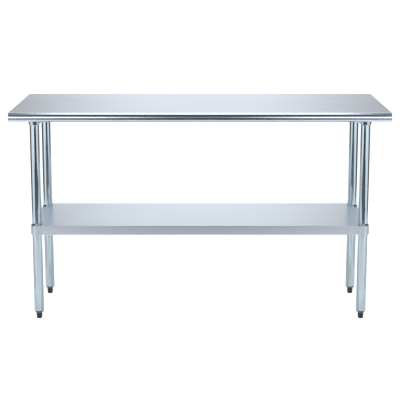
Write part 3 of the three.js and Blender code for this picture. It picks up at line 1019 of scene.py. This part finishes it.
def clamp_body():
    """A casting round the leg, with arms behind the shelf's flanges, a boss and a pocket."""
    roof = -SHELF_SHEET - JOINT_GAP
    floor = -SHELF_FLANGE
    behind_front = FRONT_FACE - SHELF_SHEET - JOINT_GAP
    behind_side = SIDE_FACE - SHELF_SHEET - JOINT_GAP
    arm_top = roof - 2 * MM
    arm_foot = floor + SHELF_SHEET + JOINT_GAP
    arm_thickness = 6 * MM
    arm_overlap = 2 * MM
    outline = clamp_outline(0) + [(0, CLAMP_TAIL), (CLAMP_INNER, 0)]
    base = build(slab(outline, floor, roof))
    collar = build(turned([(CLAMP_WALL, floor), (CLAMP_WALL, roof)], steps=TUBE_ROUND))
    front_arm = block(
        (-70 * MM, behind_front - arm_thickness, arm_foot),
        (CLAMP_INNER + arm_overlap, behind_front, arm_top),
    )
    side_arm = block(
        (behind_side - arm_thickness, -72 * MM, arm_foot),
        (behind_side, CLAMP_TAIL + arm_overlap, arm_top),
    )
    boss_profile = [
        (7.8 * MM, 22 * MM),
        (7 * MM, 25 * MM),
        (7 * MM, 32.4 * MM),
        (6.4 * MM, 33 * MM),
    ]
    boss, hole = screw_boss(boss_profile, 8 * MM, CLAMP_AIM)
    bore = turned([(CLAMP_BORE, floor - 1 * MM), (CLAMP_BORE, 1 * MM)], steps=TUBE_ROUND)
    pocket = block(
        (-19 * MM, 25 * MM, floor - 1 * MM), (5 * MM, FRONT_FACE - 3.5 * MM, roof - 4 * MM)
    )
    return carved(
        base, [collar, build(front_arm), build(side_arm), boss], [build(bore), hole, build(pocket)]
    )


def cap_bolt():
    """The domed head of a bolt with a hexagon socket, on its shank, seated at z = 0."""
    head = 4.6 * MM
    shank = 2.6 * MM
    hexagon = 3 * MM
    recess = hexagon / math.sqrt(3)
    top = 3.4 * MM
    dome_foot = 1 * MM
    dome_steps = 8
    rings = [ring(shank - 0.5 * MM, -16 * MM)]
    rings += thread(shank, 0.35 * MM, 0.8 * MM, -15.6 * MM, -4 * MM)
    rings += [ring(shank, -3.4 * MM), ring(shank, 0), ring(head - 0.2 * MM, 0), ring(head, 0.3 * MM)]
    for k in range(dome_steps + 1):
        angle = math.radians(80 * k / dome_steps)
        height = dome_foot + (top - dome_foot) * math.sin(angle)
        rings.append(ring(head * math.cos(angle * 0.72), height))
    rings.append(ring(recess + 0.3 * MM, top))
    rings.append(ring(recess, top - 0.25 * MM, hexagon))
    rings.append(ring(recess, top - 1.9 * MM, hexagon))
    return build(loft(rings))


def build_clamps():
    body = clamp_body()
    screw = set_screw(14 * MM)
    bolt = cap_bolt()
    bolt_x = 14.5 * MM
    bolt_y = 22 * MM
    for corner in CORNERS:
        place = at_corner(corner, SHELF_Z)
        add_piece(
            f"corner_casting_{corner}", moved(body, place), "cast_alloy", "undershelf",
            [f"leg_clamp_{corner}"], bevel=0.8 * MM,
        )
        add_piece(
            f"clamp_grub_screw_{corner}", moved(screw, place @ CLAMP_AIM @ SCREW_START),
            "black_oxide", "undershelf", [f"clamp_screw_{corner}"],
        )
        for name, side in (("outer", 1), ("inner", -1)):
            seat = Matrix.Translation((bolt_x, side * bolt_y, JOINT_GAP))
            add_piece(
                f"cap_bolt_{name}_{corner}", moved(bolt, place @ seat), "black_oxide", "undershelf",
                [f"clamp_bolt_{name}_{corner}"],
            )


build_top()
build_channels()
build_studs_and_nuts()
build_sockets()
build_legs()
build_feet()
build_shelf()
build_clamps()


# ------------------------------------------------------------------ studio

# How far from the table's middle the cards stand before, behind and beside it, and how high they hang
FRONT = -2.1
BACK = 2.6
SIDE = 2.5
CEILING = 2.6
# The floor lies where the feet reach when they are screwed right out.
FLOOR = -0.0255
JUST_OFF_FLOOR = FLOOR + 0.002

DAYLIGHT = (0.965, 1.0, 1.04)
COLD_SHADE = (0.60, 0.86, 1.08)
SKY_GLOW = 1.05
FLAG_GLOW = 0.10  # a flag is a dark card

# A grading that stays the same, and a fade that is never reached
STEADY = (0, 1, 1, 1)
NEVER = (90, 91)

# The camera, whose tilt is in degrees
SENSOR = 36
LENS = 102.1
SHIFT = -0.12
EYE = (0, -4.742, 1.549)
LOOK_DOWN = 10.42


def studio_material(name, glow, diffuse=0.0, tint=DAYLIGHT):
    """A plain studio surface that glows, and scatters light where diffuse is above 0."""
    material = bpy.data.materials.new(name)
    material.use_nodes = True
    shader = material.node_tree.nodes["Principled BSDF"]
    shader.inputs["Base Color"].default_value = (diffuse, diffuse, diffuse, 1)
    shader.inputs["Roughness"].default_value = 1
    shader.inputs["Specular IOR Level"].default_value = 0
    shader.inputs["Emission Color"].default_value = (*tint, 1)
    shader.inputs["Emission Strength"].default_value = glow
    return material


def graded_material(
    name, across=STEADY, upward=STEADY, side_fade=NEVER, top_fade=NEVER, tint=DAYLIGHT
):
    """A glow that changes smoothly with the distance from the middle plane, and with height.

    across and upward are (start, end, glow at the start, glow at the end), and are multiplied.
    side_fade and top_fade are the stretches over which the glow turns into the daylight's.
    """
    material = studio_material(name, 1.0, tint=tint)
    nodes = material.node_tree.nodes
    links = material.node_tree.links

    def smooth(source, span):
        fall = nodes.new("ShaderNodeMapRange")
        fall.interpolation_type = "SMOOTHSTEP"
        for socket, value in zip(("From Min", "From Max", "To Min", "To Max"), span):
            fall.inputs[socket].default_value = value
        links.new(source, fall.inputs["Value"])
        return fall.outputs["Result"]

    def reckoned(operation, *sources):
        node = nodes.new("ShaderNodeMath")
        node.operation = operation
        for number, source in enumerate(sources):
            links.new(source, node.inputs[number])
        return node.outputs["Value"]

    place = nodes.new("ShaderNodeTexCoord")
    split = nodes.new("ShaderNodeSeparateXYZ")
    links.new(place.outputs["Object"], split.inputs["Vector"])
    away = reckoned("ABSOLUTE", split.outputs["X"])
    height = split.outputs["Z"]
    own = reckoned("MULTIPLY", smooth(away, across), smooth(height, upward))
    faded = reckoned("MAXIMUM", smooth(away, (*side_fade, 0, 1)), smooth(height, (*top_fade, 0, 1)))
    blend = nodes.new("ShaderNodeMix")
    blend.data_type = "FLOAT"
    blend.inputs["B"].default_value = SKY_GLOW
    links.new(faded, blend.inputs["Factor"])
    links.new(own, blend.inputs["A"])
    links.new(blend.outputs["Result"], nodes["Principled BSDF"].inputs["Emission Strength"])
    return material


def card(name, corners, material):
    """A flat studio card that lights and shows in reflections, and isn't seen itself."""
    mesh = bpy.data.meshes.new(name)
    mesh.from_pydata(corners, [], [(0, 1, 2, 3)])
    mesh.materials.append(material)
    panel = bpy.data.objects.new(name, mesh)
    bpy.context.scene.collection.objects.link(panel)
    panel.visible_camera = False
    return panel


def facing(half_width, y, low, high):
    """Corners of a card that stands across the table's middle plane."""
    return [(-half_width, y, low), (half_width, y, low), (half_width, y, high), (-half_width, y, high)]


def lying(half_width, front, back, z, back_z=None):
    """Corners of a card that lies across the table's middle plane, level unless back_z is given."""
    back_z = z if back_z is None else back_z
    return [
        (-half_width, front, z),
        (half_width, front, z),
        (half_width, back, back_z),
        (-half_width, back, back_z),
    ]


def beside(side, near, far, front, back):
    """Corners of a card that lies just off the floor on one side of the table."""
    outline = ((near, front), (far, front), (far, back), (near, back))
    return [(side * x, y, JUST_OFF_FLOOR) for x, y in outline]


def build_floor():
    floor = card("floor", lying(30, -30, 30, FLOOR), studio_material("floor", 1.02, diffuse=0.3))
    floor.visible_camera = True


def build_front():
    """What the rolled edge and the legs mirror: panels that are bright at the sides, between flags."""
    flag = studio_material("flag", FLAG_GLOW)
    middle_flag = graded_material(
        "middle_flag", across=(0, 1, FLAG_GLOW, FLAG_GLOW), side_fade=(1.08, 1.55)
    )
    low_flag = graded_material("low_flag", upward=(0.03, 0.4, 0.24, 0.075), tint=COLD_SHADE)
    panel = graded_material(
        "front_panel", across=(0.12, 0.74, 0.28, 2.5), upward=(1.1, 1.5, 1.0, 0.3), side_fade=(1.12, 1.55)
    )
    strip = graded_material("front_strip", across=(0.12, 0.74, 0.28, 1.6))
    apron = graded_material("front_apron", across=(0.2, 0.8, 0.03, 0.3), upward=(0.06, 0.24, 1.6, 1.0))
    strip_top = 0.52
    panel_top = 1.5
    card("front_panel", facing(1.6, FRONT, strip_top, panel_top), panel)
    card("front_strip", facing(3.2, FRONT, 0.3, strip_top), strip)
    card("front_top_flag", facing(1.6, FRONT, panel_top, 3.0), middle_flag)
    card("front_low_flag", facing(0.95, FRONT + 0.01, JUST_OFF_FLOOR, 0.55), low_flag)
    card("front_floor_flag", lying(1.8, -5.5, -1.74, JUST_OFF_FLOOR), flag)
    card("front_ceiling_flag", lying(1.6, FRONT, -0.72, CEILING), middle_flag)
    card("front_apron", lying(1.15, -1.9, -0.61, 0.025, back_z=0.342), apron)


def build_overhead():
    """The soft box over the table, which the tops of the rolls mirror."""
    soft_box = graded_material("overhead_panel", across=(0.74, 1.02, 2.1, 0.22), side_fade=(1.1, 1.55))
    card("overhead_panel", lying(1.6, -0.70, 1.5, CEILING), soft_box)


def build_sides():
    """Cards beside and under the table, darker than the floor, that tone what the legs mirror. The cards
    round the feet and under the table are painted shade: they stand in for the table's shadow on the floor,
    as the legs mirror it.
    """
    flag = studio_material("side_flag", 0.18)
    floor_card = studio_material("floor_card", 0.85)
    # painted shade: the cards round the feet glow less than the floor and stand in for the table's contact
    # shadow there, as the lower legs mirror it
    foot_shade_card = studio_material("foot_shade_card", 1.0)
    for name, side in (("left", -1), ("right", 1)):
        upright = ((-0.55, 0), (2.2, 0), (2.2, 0.6), (-0.55, 0.6))
        card(f"{name}_flag", [(side * SIDE, y, z) for y, z in upright], flag)
        card(f"{name}_floor_card", beside(side, 1.15, 2.4, -0.6, 1.6), floor_card)
        card(f"{name}_foot_shade_card", beside(side, 0.6, 1.1, -0.5, 0.6), foot_shade_card)
    # painted shadow: a card darker than the floor under the table stands in for the table's shadow there,
    # as the legs and the shelf mirror it
    card("under_table_shade", lying(0.58, -0.35, 0.7, JUST_OFF_FLOOR), studio_material("under_table_shade", 0.78))


def build_back():
    """The panel that the top and the undershelf mirror: brightest in its middle and lower down."""
    wall = graded_material(
        "back_panel",
        across=(0.25, 1.7, 1.0, 0.40),
        upward=(1.08, 1.22, 1.12, 0.95),
        side_fade=(1.38, 2.3),
        top_fade=(1.42, 2.2),
    )
    card("back_panel", facing(2.3, BACK, 0.35, 2.3), wall)


def build_studio():
    build_floor()
    build_front()
    build_overhead()
    build_sides()
    build_back()
    world = bpy.data.worlds.new("studio")
    world.use_nodes = True
    sky = world.node_tree.nodes["Background"]
    sky.inputs["Color"].default_value = (*DAYLIGHT, 1)
    sky.inputs["Strength"].default_value = SKY_GLOW
    bpy.context.scene.world = world
    bpy.context.scene.view_settings.view_transform = "Standard"


def build_camera():
    """The photographer stands well back and a little above the table, in line with its middle."""
    data = bpy.data.cameras.new("camera")
    data.sensor_width = SENSOR
    data.lens = LENS
    data.shift_y = SHIFT
    camera = bpy.data.objects.new("camera", data)
    camera.location = EYE
    camera.rotation_euler = (math.radians(90 - LOOK_DOWN), 0, 0)
    bpy.context.scene.collection.objects.link(camera)
    bpy.context.scene.camera = camera


build_studio()
build_camera()
